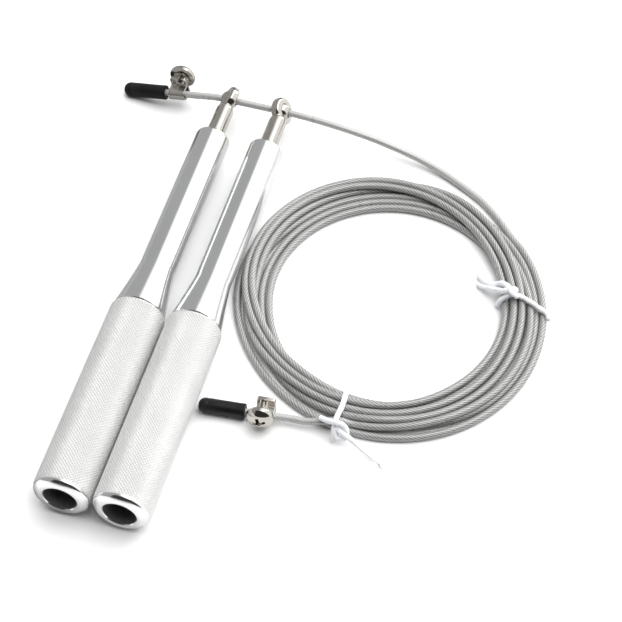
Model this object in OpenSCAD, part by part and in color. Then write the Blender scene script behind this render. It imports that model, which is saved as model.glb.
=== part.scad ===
// Speed rope: two turned handles with rod-end eyes on a coated wire rope, laid out flat.
// Millimetres. +Y runs along the handles towards their eyes, +Z is up, the floor is Z = 0.

/* [Handles] */
// Length of a handle, from its rear face to the tip of its eye
handle_len = 164.8; // [155:0.1:175]
// Diameter over the knurled grip
grip_d = 17.6; // [16.8:0.1:19]
// Length of the grip, from the rear face
grip_len = 69; // [60:1:72]
// Distance from the rear face to the small end of the taper
taper_end = 86.5; // [84:0.5:95]
// Diameter of the polished front tube
front_d = 11.3; // [11:0.1:13]
// Length of the turned aluminium body, without the stem
body_len = 143.3; // [140:0.1:146]
// Gap between the two grips at their rear ends
grip_gap = 0.35; // [0.3:0.05:2]

/* [Bores] */
// Diameter of the open rear bore
bore_d = 10.2; // [9.6:0.1:11]
// Depth of the open rear bore
bore_depth = 64; // [50:1:66]
// Diameter of the inner bore that gives access to the lock nut
inner_bore_d = 8.8; // [8.4:0.1:9]
// Radial clearance of a pressed or running fit
fit_gap = 0.03; // [0.02:0.01:0.05]

/* [Bearings] */
// Outside diameter of a ball bearing
bearing_d = 8; // [8:0.1:8.2]
// Width of a ball bearing
bearing_w = 3; // [2.5:0.1:3]
// Diameter of the shaft that the bearings run on
shaft_d = 4; // [3.8:0.1:4]
// Number of balls in a bearing
bearing_balls = 8; // [6:1:8]

/* [Eyes] */
// Diameter of the stem's neck
neck_d = 5.8; // [5:0.1:6]
// Outside diameter of the eye ring
eye_d = 8.4; // [8:0.1:9]
// Width of the eye ring
eye_w = 3; // [2.6:0.1:3]
// Diameter of the ball in the eye
ball_d = 6; // [5.8:0.1:6.4]
// Width of the ball over its flat faces
ball_w = 4.8; // [4.6:0.1:5]
// Hole through the ball, for the rope
ball_hole_d = 3; // [2.8:0.1:3.2]
// Roll of each eye about its stem, in degrees
eye_roll = 30; // [0:1:32]

/* [Rope] */
// Diameter of the coated rope
rope_d = 2.3; // [2:0.1:2.4]
// Outer radius of the coil
coil_outer_r = 46.5; // [45.5:0.1:46.5]
// Inner radius of the coil
coil_inner_r = 35.6; // [34:0.1:37]
// Height of the coil
coil_h = 5; // [4:0.1:5]
// Width of a string tie
tie_w = 1.6; // [1:0.1:2]

/* [Rope ends] */
// Diameter of a rubber end cap
cap_d = 4.8; // [4.4:0.1:4.8]
// Length of the upper rubber end cap
upper_cap_len = 14.5; // [12:0.1:15]
// Length of the lower rubber end cap
lower_cap_len = 13.3; // [12:0.1:13.3]
// Width of a clamp strap, along the rope
strap_w = 5.6; // [5:0.1:6]
// Thickness of the clamp strap
strap_t = 0.7; // [0.6:0.05:0.8]
// Diameter of the clamp screw's head
screw_head_d = 7.8; // [6:0.1:8]
// Height of the clamp screw's head
screw_head_h = 2.4; // [2:0.1:2.6]
// How far the upper clamp's screw is backed out
screw_backed_out = 0.8; // [0:0.1:1]

/* [Hidden] */
$fn = 64;
over = 1;

grip_r = grip_d / 2;
front_r = front_d / 2;
rear_y = -handle_len / 2;
handle_x = grip_r + grip_gap / 2;
eye_y = handle_len - eye_d / 2;

// Rear end and grip
lip_r = grip_r - 0.35;
lip_flat_r = 6.75;
lip_chamfer_y = 0.8;
lip_len = 1.6;
edge = 0.5;
shoulder_r = grip_r - edge;
bore_edge = 0.25;
bore_cone = 1.2;

// Bearing seats, measured from the rear face
seat_r = bearing_d / 2;
web_len = 9.5;
front_seat_y = body_len - 4.5;
rear_seat_y = front_seat_y - web_len - bearing_w;
web_r = 3.4;

// Bearing rings
race_ball_r = 0.62;
pitch_r = 3;
inner_race_r = 2.55;
outer_race_r = 3.45;
groove_r = race_ball_r + fit_gap;
shield_t = 0.2;
cage_t = 0.3;
cage_w = 1.7;

// Stem, washer and lock nut
journal_r = shaft_d / 2 - 0.01;
thread_r = 1.5;
nut_af = 5.5;
nut_h = 4;
washer_t = 0.5;
washer_r = 2.5;
step_r = 2.45;
step_len = 0.3;
thread_past_nut = 0.8;
neck_end_y = eye_y - eye_d / 2 - 0.9;
neck_cone = 2;
neck_tip_r = 1.9;
nut_y = rear_seat_y - washer_t - nut_h;

// Clamp strap and screw, measured from the rope's axis
strap_r = rope_d / 2 + 0.1;
ear_top = 5.4;
screw_z = 3.4;
screw_shift = 0.7;
screw_r = 1.47;
screw_len = 5;
screw_hole_r = 1.55;
spring_washer_t = 0.7;
spring_washer_r = 2.7;
recess_w = 1;
recess_len = 4.2;
recess_deep = 1.3;
cap_bore_deep = 10;

// Coil of rope and its two ties
coil_at = [63.2, 17.3, 0];
coil_round = 1.1;
tie_t = 0.8;
tie_slack = 0.1;
tie_angles = [14, 268];
knot_r = 1.5;

rope_sides = 8;

// Routes of the rope outside the coil. The rope is straight under both caps and clamps.
lead_route = [
    [-40, 79.08, 3.06], [-33, 78.8, 4.6], [-28, 78.6, 5.7], [-23, 78.4, 6.8], [-18, 78.2, 7.9],
    [-16, 78.2, 8.3], [-14, 78.2, 8.6], [-12, 78.2, 8.8], [-6, 78.2, 8.8], [0, 78.2, 8.8],
    [6, 78.2, 8.8], [12, 78.2, 8.8], [16, 78.1, 8.7], [20, 78, 8.5], [24, 77.9, 8.2],
    [28, 77.8, 7.8], [32, 77.8, 7.2], [36, 77.8, 6.5], [40, 77.8, 5.7], [44, 77.6, 4.9],
    [48, 77.3, 4.1], [52, 76.9, 3.3], [56, 76.3, 2.6], [60, 75.3, 2], [64, 74, 1.6],
    [68, 72.3, 1.3], [72, 70.3, 1.15], [76, 68.1, 1.15], [80, 65.6, 1.15], [84, 62.3, 1.15],
    [88, 58.4, 1.15], [92, 54, 1.15],
    [95.5, 49.6, 1.15]
];
tail_route = [
    [22, -35.4, 2.4], [27, -34.9, 2.4], [32, -34.4, 2.4], [37, -33.9, 2.4], [42, -33.4, 2.4],
    [46, -33, 2.4], [48.5, -33, 2.5], [51, -32.6, 2.7], [53.5, -32, 3], [56, -31, 3.2], [58.6, -29.6, 3.3]
];

// Where a cap's open end and a clamp's middle sit on each straight stretch
upper_line = [[-43, 79.2, 2.4], [-18, 78.2, 7.9]];
lower_line = [[19, -35.7, 2.4], [46, -33, 2.4]];
upper_cap_end = 12.3;
upper_clamp_mid = 16.4;
lower_cap_end = 12.5;
lower_clamp_mid = 18.3;

// ---- Placing ----

// Puts a handle's own frame in place: its axis is Y, from 0 at the rear face
module at_handle(side) {
    translate([side * handle_x, rear_y, grip_r])
    children();
}

// Stands a solid that was turned about Z along Y instead, from y onwards
module along_y(y = 0) {
    translate([0, y, 0])
    rotate([-90, 0, 0])
    children();
}

// Puts X along a line, with its origin some way from the line's start
module on_line(line, distance) {
    step = line[1] - line[0];
    run = sqrt(step[0] * step[0] + step[1] * step[1]);
    turn = atan2(step[1], step[0]);
    rise = atan2(step[2], run);
    translate(line[0])
    rotate([0, -rise, turn])
    translate([distance, 0, 0])
    children();
}

// Turned ring from one radius to another
module ring(inner, outer, width) {
    difference() {
        cylinder(r = outer, h = width);
        translate([0, 0, -over])
        cylinder(r = inner, h = width + 2 * over);
    }
}

// ---- Handle bodies ----

// Radius of the hollow taper, from the grip's shoulder at t = 0 to the front tube at t = 1
function taper_r(t) = front_r + (shoulder_r - front_r) * (1 - t) * (0.75 + 0.25 * (1 - t));

taper_steps = 8;
nose_steps = 5;
nose_r = 1.1;

handle_outline = concat(
    [[0, 0], [lip_flat_r, 0], [lip_r - 0.1, lip_chamfer_y], [lip_r, lip_chamfer_y + 0.25], [lip_r, lip_len]],
    [[grip_r, lip_len + 0.3], [grip_r, grip_len - edge], [shoulder_r, grip_len]],
    [for (i = [1 : taper_steps]) let (t = i / taper_steps) [taper_r(t), grip_len + (taper_end - grip_len) * t]],
    [for (i = [0 : nose_steps]) let (a = 90 * i / nose_steps)
        [front_r - nose_r * (1 - cos(a)), body_len - nose_r * (1 - sin(a))]],
    [[0, body_len]]
);

module handle_body(side) {
    color("gainsboro")
    at_handle(side)
    along_y()
    difference() {
        rotate_extrude()
        polygon(handle_outline);
        translate([0, 0, -over])
        cylinder(d = bore_d, h = bore_depth + over);
        translate([0, 0, -bore_edge])
        cylinder(r1 = bore_d / 2 + 2 * bore_edge, r2 = bore_d / 2, h = 2 * bore_edge);
        translate([0, 0, bore_depth])
        cylinder(r1 = bore_d / 2, r2 = inner_bore_d / 2, h = bore_cone);
        cylinder(d = inner_bore_d, h = rear_seat_y);
        cylinder(r = seat_r, h = rear_seat_y + bearing_w);
        cylinder(r = web_r, h = body_len + over);
        translate([0, 0, front_seat_y])
        cylinder(r = seat_r, h = body_len);
    }
}

// ---- Bearings ----

module outer_race(side, seat_y) {
    color("silver")
    at_handle(side)
    along_y(seat_y)
    difference() {
        ring(outer_race_r, seat_r - 0.01, bearing_w);
        race_groove();
    }
}

module inner_race(side, seat_y) {
    color("silver")
    at_handle(side)
    along_y(seat_y)
    difference() {
        ring(shaft_d / 2, inner_race_r, bearing_w);
        race_groove();
    }
}

// Round track that the balls run in
module race_groove() {
    translate([0, 0, bearing_w / 2])
    rotate_extrude()
    translate([pitch_r, 0])
    circle(r = groove_r);
}

module ball_ring(radius) {
    for (i = [0 : bearing_balls - 1])
        rotate([0, 0, i * 360 / bearing_balls])
        translate([pitch_r, 0, bearing_w / 2])
        sphere(r = radius);
}

module bearing_ball_sets(side) {
    color("white")
    at_handle(side)
    for (seat_y = [rear_seat_y, front_seat_y])
        along_y(seat_y)
        ball_ring(race_ball_r);
}

module bearing_cages(side) {
    color("goldenrod")
    at_handle(side)
    for (seat_y = [rear_seat_y, front_seat_y])
        along_y(seat_y)
        difference() {
            translate([0, 0, (bearing_w - cage_w) / 2])
            ring(pitch_r - cage_t / 2, pitch_r + cage_t / 2, cage_w);
            for (i = [0 : bearing_balls - 1])
                rotate([0, 0, i * 360 / bearing_balls])
                translate([pitch_r - cage_t, 0, bearing_w / 2])
                rotate([0, 90, 0])
                cylinder(r = race_ball_r + fit_gap, h = 2 * cage_t);
        }
}

// Thin shields on both sides of each bearing, held by the outer race
module bearing_shields(side) {
    color("gray")
    at_handle(side)
    for (seat_y = [rear_seat_y, front_seat_y])
        for (face = [0.1, bearing_w - 0.1 - shield_t])
            along_y(seat_y + face)
            ring(inner_race_r + 0.2, outer_race_r - 0.01, shield_t);
}

module bearing_spacer(side) {
    color("darkgray")
    at_handle(side)
    along_y(rear_seat_y + bearing_w)
    ring(shaft_d / 2 + fit_gap, inner_race_r, web_len);
}

// ---- Stem, eye and lock nut ----

module stem(side) {
    color("lightgray")
    at_handle(side)
    difference() {
        union() {
            along_y(nut_y - thread_past_nut)
            cylinder(r = thread_r, h = rear_seat_y - nut_y + thread_past_nut);
            along_y(rear_seat_y)
            cylinder(r = journal_r, h = front_seat_y + bearing_w - rear_seat_y);
            along_y(front_seat_y + bearing_w)
            cylinder(r = step_r, h = step_len);
            along_y(front_seat_y + bearing_w + step_len)
            cylinder(d = neck_d, h = neck_end_y - front_seat_y - bearing_w - step_len);
            along_y(neck_end_y)
            cylinder(r1 = neck_d / 2, r2 = neck_tip_r, h = neck_cone);
            eye_ring(side);
        }
        translate([0, eye_y, 0])
        sphere(r = ball_d / 2 + fit_gap);
    }
}

// Chamfered ring of the eye, rolled about the stem
module eye_ring(side) {
    chamfer = 0.4;
    translate([0, eye_y, 0])
    rotate([0, -side * eye_roll, 0])
    rotate([0, 90, 0])
    rotate_extrude()
    polygon([
        [1.6, -eye_w / 2], [eye_d / 2 - chamfer, -eye_w / 2], [eye_d / 2, -eye_w / 2 + chamfer],
        [eye_d / 2, eye_w / 2 - chamfer], [eye_d / 2 - chamfer, eye_w / 2], [1.6, eye_w / 2]
    ]);
}

module stem_washer(side) {
    color("silver")
    at_handle(side)
    along_y(rear_seat_y - washer_t)
    ring(thread_r + fit_gap, washer_r, washer_t);
}

module lock_nut(side) {
    color("silver")
    at_handle(side)
    along_y(nut_y)
    difference() {
        cylinder(d = nut_af / cos(30), h = nut_h, $fn = 6);
        translate([0, 0, -over])
        cylinder(r = thread_r + fit_gap, h = nut_h + 2 * over);
    }
}

// Ball of the eye, with its hole along the rope
module eye_ball(side) {
    color("whitesmoke")
    at_handle(side)
    translate([0, eye_y, 0])
    rotate([0, 90, 0])
    difference() {
        intersection() {
            sphere(d = ball_d);
            cylinder(d = ball_d + over, h = ball_w, center = true);
        }
        cylinder(d = ball_hole_d, h = ball_w + over, center = true);
    }
}

// ---- Rope ----

function unit(v) = v / norm(v);

// Direction of the route at point i
function heading(route, i) =
    unit(route[min(i + 1, len(route) - 1)] - route[max(i - 1, 0)]);

// One ring of points square to the route
function rope_ring(route, i) =
    let (along = heading(route, i), side = unit(cross(along, [0, 0, 1])), up = cross(side, along))
    [for (k = [0 : rope_sides - 1]) let (a = 360 * k / rope_sides)
        route[i] + rope_d / 2 * (cos(a) * side + sin(a) * up)];

module swept_rope(route) {
    rings = len(route);
    points = [for (i = [0 : rings - 1]) each rope_ring(route, i)];
    walls = [
        for (i = [0 : rings - 2]) for (k = [0 : rope_sides - 1])
            let (a = i * rope_sides + k, b = i * rope_sides + (k + 1) % rope_sides)
            [a, b, b + rope_sides, a + rope_sides]
    ];
    first = [for (k = [rope_sides - 1 : -1 : 0]) k];
    last = [for (k = [0 : rope_sides - 1]) (rings - 1) * rope_sides + k];
    polyhedron(points, concat([first, last], walls));
}

module rope_lead() {
    color("darkgray")
    swept_rope(lead_route);
}

module rope_tail() {
    color("darkgray")
    swept_rope(tail_route);
}

// Outer shape of the wound rope
module rope_coil() {
    color("darkgray")
    translate(coil_at)
    rotate_extrude()
    polygon([
        [coil_inner_r, 0], [coil_outer_r, 0], [coil_outer_r, coil_h - coil_round],
        [coil_outer_r - coil_round, coil_h], [coil_inner_r + coil_round, coil_h],
        [coil_inner_r, coil_h - coil_round]
    ]);
}

// String tied over the coil and down to the floor on both sides, with its knot on top
module tie(angle, knot_radius) {
    inside = coil_inner_r - tie_slack;
    outside = coil_outer_r + tie_slack;
    color("white")
    translate(coil_at)
    rotate([0, 0, angle]) {
        difference() {
            translate([inside - tie_t, -tie_w / 2, 0])
            cube([outside - inside + 2 * tie_t, tie_w, coil_h + tie_slack + tie_t]);
            translate([inside, -tie_w, -over])
            cube([outside - inside, 2 * tie_w, coil_h + tie_slack + over]);
        }
        translate([knot_radius, 0, coil_h + tie_slack + tie_t])
        intersection() {
            sphere(r = knot_r);
            translate([-knot_r, -knot_r, -tie_t / 2])
            cube(2 * knot_r);
        }
    }
}

// ---- Rope ends ----

module end_cap(line, open_end, cap_len) {
    color("#222222")
    on_line(line, open_end)
    rotate([0, -90, 0])
    difference() {
        union() {
            cylinder(d = cap_d, h = cap_len - cap_d / 2);
            translate([0, 0, cap_len - cap_d / 2])
            sphere(d = cap_d);
        }
        translate([0, 0, -over])
        cylinder(r = rope_d / 2 + 0.05, h = cap_bore_deep + over);
    }
}

// U-shaped strap round the rope, with two ears above it and a cross hole for the screw
module clamp_strap(line, mid, head_side) {
    outer_r = strap_r + strap_t;
    color("silver")
    on_line(line, mid)
    difference() {
        union() {
            rotate([0, 90, 0])
            cylinder(r = outer_r, h = strap_w, center = true);
            translate([-strap_w / 2, -outer_r, 0])
            cube([strap_w, 2 * outer_r, ear_top]);
        }
        rotate([0, 90, 0])
        cylinder(r = strap_r, h = strap_w + over, center = true);
        translate([-strap_w, -strap_r, 0])
        cube([2 * strap_w, 2 * strap_r, ear_top + over]);
        translate([head_side * screw_shift, 0, screw_z])
        rotate([90, 0, 0])
        cylinder(r = screw_hole_r, h = 4 * outer_r, center = true);
    }
}

// Puts Z along the screw, from the strap's outer face towards the head
module at_screw(line, mid, head_side) {
    on_line(line, mid)
    translate([head_side * screw_shift, head_side * (strap_r + strap_t), screw_z])
    rotate([-90 * head_side, 0, 0])
    children();
}

module clamp_washer(line, mid, head_side) {
    color("silver")
    at_screw(line, mid, head_side)
    ring(screw_hole_r, spring_washer_r, spring_washer_t);
}

// Pan-head screw with a cross recess
module clamp_screw(line, mid, head_side, backed_out) {
    head_r = screw_head_d / 2;
    dome = 1.1;
    color("gainsboro")
    at_screw(line, mid, head_side)
    translate([0, 0, spring_washer_t + backed_out])
    difference() {
        union() {
            translate([0, 0, -screw_len])
            cylinder(r = screw_r, h = screw_len + over / 2);
            rotate_extrude()
            polygon(concat(
                [[0, 0], [head_r, 0], [head_r, screw_head_h - dome]],
                [for (i = [1 : 6]) let (a = 15 * i)
                    [head_r * (0.45 + 0.55 * cos(a)), screw_head_h - dome * (1 - sin(a))]],
                [[0, screw_head_h]]
            ));
        }
        for (turn = [0, 90])
            rotate([0, 0, turn])
            translate([-recess_len / 2, -recess_w / 2, screw_head_h - recess_deep])
            cube([recess_len, recess_w, recess_deep + over]);
    }
}

handle_body(-1);  // left_handle_body
handle_body(1);  // right_handle_body
outer_race(-1, front_seat_y);  // left_front_outer_race
outer_race(-1, rear_seat_y);  // left_rear_outer_race
inner_race(-1, front_seat_y);  // left_front_inner_race
inner_race(-1, rear_seat_y);  // left_rear_inner_race
outer_race(1, front_seat_y);  // right_front_outer_race
outer_race(1, rear_seat_y);  // right_rear_outer_race
inner_race(1, front_seat_y);  // right_front_inner_race
inner_race(1, rear_seat_y);  // right_rear_inner_race
bearing_ball_sets(-1);  // left_bearing_balls
bearing_ball_sets(1);  // right_bearing_balls
bearing_cages(-1);  // left_bearing_cages
bearing_cages(1);  // right_bearing_cages
bearing_shields(-1);  // left_bearing_shields
bearing_shields(1);  // right_bearing_shields
bearing_spacer(-1);  // left_bearing_spacer
bearing_spacer(1);  // right_bearing_spacer
stem(-1);  // left_stem
stem(1);  // right_stem
stem_washer(-1);  // left_stem_washer
stem_washer(1);  // right_stem_washer
lock_nut(-1);  // left_lock_nut
lock_nut(1);  // right_lock_nut
eye_ball(-1);  // left_eye_ball
eye_ball(1);  // right_eye_ball
rope_lead();
rope_coil();
rope_tail();
tie(tie_angles[0], 37.6);  // right_tie
tie(tie_angles[1], 46.4);  // lower_tie
end_cap(upper_line, upper_cap_end, upper_cap_len);  // upper_end_cap
end_cap(lower_line, lower_cap_end, lower_cap_len);  // lower_end_cap
clamp_strap(upper_line, upper_clamp_mid, 1);  // upper_clamp_strap
clamp_strap(lower_line, lower_clamp_mid, -1);  // lower_clamp_strap
clamp_washer(upper_line, upper_clamp_mid, 1);  // upper_clamp_washer
clamp_washer(lower_line, lower_clamp_mid, -1);  // lower_clamp_washer
clamp_screw(upper_line, upper_clamp_mid, 1, screw_backed_out);  // upper_clamp_screw
clamp_screw(lower_line, lower_clamp_mid, -1, 0);  // lower_clamp_screw
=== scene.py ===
"""Speed jump rope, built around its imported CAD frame. Metres; +Y runs along the handles to their eyes."""

import math

import bmesh
import bpy
import numpy as np
from mathutils import Matrix, Vector


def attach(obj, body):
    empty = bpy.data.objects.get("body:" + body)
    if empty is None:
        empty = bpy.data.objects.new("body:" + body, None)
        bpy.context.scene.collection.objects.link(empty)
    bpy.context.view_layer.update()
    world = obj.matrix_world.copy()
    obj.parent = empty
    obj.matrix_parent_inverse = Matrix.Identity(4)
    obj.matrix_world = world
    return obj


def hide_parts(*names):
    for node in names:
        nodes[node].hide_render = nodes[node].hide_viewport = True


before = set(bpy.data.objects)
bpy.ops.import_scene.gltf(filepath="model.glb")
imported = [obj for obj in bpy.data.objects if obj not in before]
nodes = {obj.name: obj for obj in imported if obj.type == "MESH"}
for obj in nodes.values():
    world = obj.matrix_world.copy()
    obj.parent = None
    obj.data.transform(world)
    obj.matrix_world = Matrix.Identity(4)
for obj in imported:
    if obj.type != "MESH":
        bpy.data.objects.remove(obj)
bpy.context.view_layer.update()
scene = bpy.context.scene
MM = 0.001


# ---------------------------------------------------------------- camera

ELEVATION, TURN, ROLL = math.radians(52.95), math.radians(15.67), math.radians(0.63)
CAMERA_AT = (0.1446, -0.3673, 0.5173)
LENS, SENSOR = 121.4, 36


def make_camera():
    ahead = Vector((-math.sin(TURN), math.cos(TURN), 0))
    look = ahead * math.cos(ELEVATION) - Vector((0, 0, 1)) * math.sin(ELEVATION)
    right = Vector((math.cos(TURN), math.sin(TURN), 0))
    up = right.cross(look)
    rolled_right = right * math.cos(ROLL) + up * math.sin(ROLL)
    rolled_up = up * math.cos(ROLL) - right * math.sin(ROLL)
    data = bpy.data.cameras.new("camera")
    data.lens = LENS
    data.sensor_width = SENSOR
    cam = bpy.data.objects.new("camera", data)
    turn = Matrix((rolled_right, rolled_up, -look)).transposed()
    cam.matrix_world = Matrix.Translation(CAMERA_AT) @ turn.to_4x4()
    scene.collection.objects.link(cam)
    scene.camera = cam


make_camera()


# ---------------------------------------------------------------- mesh helpers


def finish_mesh(mesh, smooth_angle):
    """Faces outwards, smooth shading, sharp above an angle."""
    bm = bmesh.new()
    bm.from_mesh(mesh)
    bmesh.ops.recalc_face_normals(bm, faces=bm.faces)
    bm.to_mesh(mesh)
    bm.free()
    mesh.polygons.foreach_set("use_smooth", [True] * len(mesh.polygons))
    if smooth_angle is not None:
        mesh.set_sharp_from_angle(angle=math.radians(smooth_angle))


def mesh_object(name, verts, faces, smooth_angle=35, material_of=None):
    mesh = bpy.data.meshes.new(name)
    mesh.from_pydata([tuple(v) for v in verts], [], [tuple(f) for f in faces])
    if material_of is not None:
        mesh.polygons.foreach_set("material_index", material_of)
    finish_mesh(mesh, smooth_angle)
    obj = bpy.data.objects.new(name, mesh)
    scene.collection.objects.link(obj)
    return obj


def smooth_path(points, step):
    """Catmull-Rom through the points, resampled at an even step."""
    p = np.array(points, float)
    ends = np.vstack([2 * p[0] - p[1], p, 2 * p[-1] - p[-2]])
    fine = []
    for i in range(1, len(ends) - 2):
        a, b, c, d = ends[i - 1 : i + 3]
        t = np.linspace(0, 1, 12, endpoint=False)[:, None]
        square, cube = 2 * a - 5 * b + 4 * c - d, 3 * b - a - 3 * c + d
        fine.append(0.5 * (2 * b + (c - a) * t + square * t**2 + cube * t**3))
    fine.append(p[-1:])
    return resample(np.vstack(fine), step)


def resample(p, step):
    run = np.concatenate([[0], np.cumsum(np.linalg.norm(np.diff(p, axis=0), axis=1))])
    count = max(2, int(round(run[-1] / step)) + 1)
    at = np.linspace(0, run[-1], count)
    return np.stack([np.interp(at, run, p[:, k]) for k in range(3)], 1)


def frames(path):
    """Tangent, side and up at each point of a path, with no sudden twist."""
    along = np.gradient(path, axis=0)
    along /= np.linalg.norm(along, axis=1)[:, None]
    side = np.zeros_like(path)
    start = np.cross(along[0], [0, 0, 1.0])
    if np.linalg.norm(start) < 1e-3:
        start = np.array([1.0, 0, 0])
    side[0] = start / np.linalg.norm(start)
    for i in range(1, len(path)):
        s = side[i - 1] - along[i] * (side[i - 1] @ along[i])
        side[i] = s / np.linalg.norm(s)
    return along, side, np.cross(side, along)


def tube_mesh(path, radius_at, sides, twist=0.0):
    """Closed tube; radius_at(i) gives the radii of ring i, and every ring is turned on by twist."""
    along, side, up = frames(path)
    verts = []
    for i, p in enumerate(path):
        r = np.broadcast_to(radius_at(i), sides)
        angles = np.arange(sides) * 2 * math.pi / sides + twist * i
        around = np.cos(angles)[:, None] * side[i] + np.sin(angles)[:, None] * up[i]
        verts.append(p + r[:, None] * around)
    count = len(path)
    faces = []
    for i in range(count - 1):
        for k in range(sides):
            a, b = i * sides + k, i * sides + (k + 1) % sides
            faces.append((a, b, b + sides, a + sides))
    verts = np.vstack(verts + [path[:1], path[-1:]])
    first, last = count * sides, count * sides + 1
    for k in range(sides):
        faces.append(((k + 1) % sides, k, first))
        faces.append(((count - 1) * sides + k, (count - 1) * sides + (k + 1) % sides, last))
    return verts, faces


# ---------------------------------------------------------------- the rope's line

ROPE_D = 0.0023
COIL_AT = np.array([0.0625, 0.0171])
ENTER_DEG = 45
STEP_DEG = 5
FULL_TURNS = 7
LEAVE_DEG = -90

LEAD = [
    (-0.040, 0.07908, 0.00306), (-0.033, 0.0788, 0.0046), (-0.028, 0.0786, 0.0057), (-0.023, 0.0784, 0.0068),
    (-0.018, 0.0782, 0.0079), (-0.016, 0.0782, 0.0083), (-0.014, 0.0782, 0.0086), (-0.012, 0.0782, 0.0088),
    (-0.006, 0.0782, 0.0088), (0, 0.0782, 0.0088), (0.006, 0.0782, 0.0088), (0.012, 0.0782, 0.0088),
    (0.016, 0.0781, 0.0087), (0.020, 0.0780, 0.0085), (0.024, 0.0779, 0.0082), (0.028, 0.0778, 0.0078),
    (0.032, 0.0778, 0.0072), (0.036, 0.0778, 0.0065), (0.040, 0.0778, 0.0057), (0.044, 0.0776, 0.0049),
    (0.048, 0.0773, 0.0041), (0.052, 0.0769, 0.0033), (0.056, 0.0763, 0.0026), (0.060, 0.0753, 0.0020),
    (0.064, 0.0740, 0.0016), (0.068, 0.0723, 0.0013), (0.072, 0.0703, 0.00115), (0.076, 0.0681, 0.00115),
    (0.080, 0.0656, 0.00115), (0.084, 0.0623, 0.00115), (0.088, 0.0584, 0.00115), (0.092, 0.0540, 0.00115),
]
TAIL = [
    (0.0586, -0.0303, 0.0034), (0.0560, -0.0314, 0.0032), (0.0535, -0.0320, 0.0030),
    (0.0510, -0.0326, 0.0027), (0.0485, -0.0330, 0.0025), (0.0460, -0.0330, 0.0024),
    (0.0420, -0.0334, 0.0024), (0.0370, -0.0339, 0.0024), (0.0320, -0.0344, 0.0024),
    (0.0270, -0.0349, 0.0024), (0.0220, -0.0354, 0.0024),
]

# Radius of each turn in millimetres, as judged, and the layer it lies on, at these angles
TURN_DEG = [45, 30, 15, 0, -30, -60, -90, -120, -150, -180, -210, -240, -270, -285, -300]
TURNS = [
    ([46.9, 46.2, 46.1, 46.5, 48.6, 49.8, 49.2, 46.7, 46.9, 48.2, 49.0, 49.3, 48.3, 46.6, 43.4],
     [0, 0, 0, 0, 0, 0, 0, 0, 0, 0, 0, 0, 0, 0.8, 1]),
    ([41.1, 39.9, 39.7, 40.0, 42.6, 43.8, 45.0, 44.1, 42.2, 42.7, 45.0, 47.0, 46.2, 45.6, 45.0],
     [1, 1, 1, 1, 1, 1, 1, 0, 0.3, 0.8, 0.8, 0, 0, 0, 0]),
    ([44.7, 44.3, 44.4, 44.7, 46.6, 46.7, 43.4, 41.7, 39.7, 40.5, 41.3, 41.5, 41.5, 41.2, 40.8],
     [0, 0, 0.4, 0.4, 0, 0, 0, 0, 0, 0, 0, 0, 0, 0, 0]),
    ([40.2, 40.0, 40.4, 41.0, 41.2, 41.2, 40.3, 39.0, 37.3, 37.8, 38.8, 39.1, 39.2, 39.0, 38.6],
     [0, 0, 0, 0, 0, 0, 0, 0, 0, 0, 0, 0, 0, 0, 0]),
    ([37.8, 37.5, 37.5, 37.6, 38.0, 37.9, 37.9, 38.1, 40.0, 44.8, 47.6, 48.3, 44.2, 40.9, 38.1],
     [0, 0, 0, 0, 0, 0, 0.5, 1, 1.5, 1.8, 1, 1, 1, 1, 1]),
    ([36.2, 35.1, 34.9, 34.9, 35.7, 38.7, 39.8, 40.3, 42.6, 46.9, 49.3, 50.3, 46.7, 43.4, 40.5],
     [0.5, 0, 0, 0, 0, 1, 1, 1, 1.2, 1.8, 1.5, 1.2, 1, 1, 1]),
    ([38.5, 37.7, 37.3, 37.3, 39.6, 41.5, 42.6, 42.8, 44.4, 44.0, 43.7, 44.0, 43.5, 43.3, 42.9],
     [1, 1, 1, 1, 1, 1, 1, 1, 0.2, 0, 0, 0, 0, 0, 0]),
    ([42.5, 42.4, 42.8, 43.3, 45.8, 46.2, 47.0], [0, 0.1, 0.4, 0.5, 1, 1, 1]),
]

SWEEPS, SMOOTH_SWEEPS = 500, 460
LAYER_STEP = 0.9  # height of a layer in rope diameters
EVEN_OUT = 0.2  # how much a sweep evens out neighbouring points
KEEP_TO = 0.04  # pull towards the listed radius
SINK = 0.004  # millimetres that a turn sinks in a sweep


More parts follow.
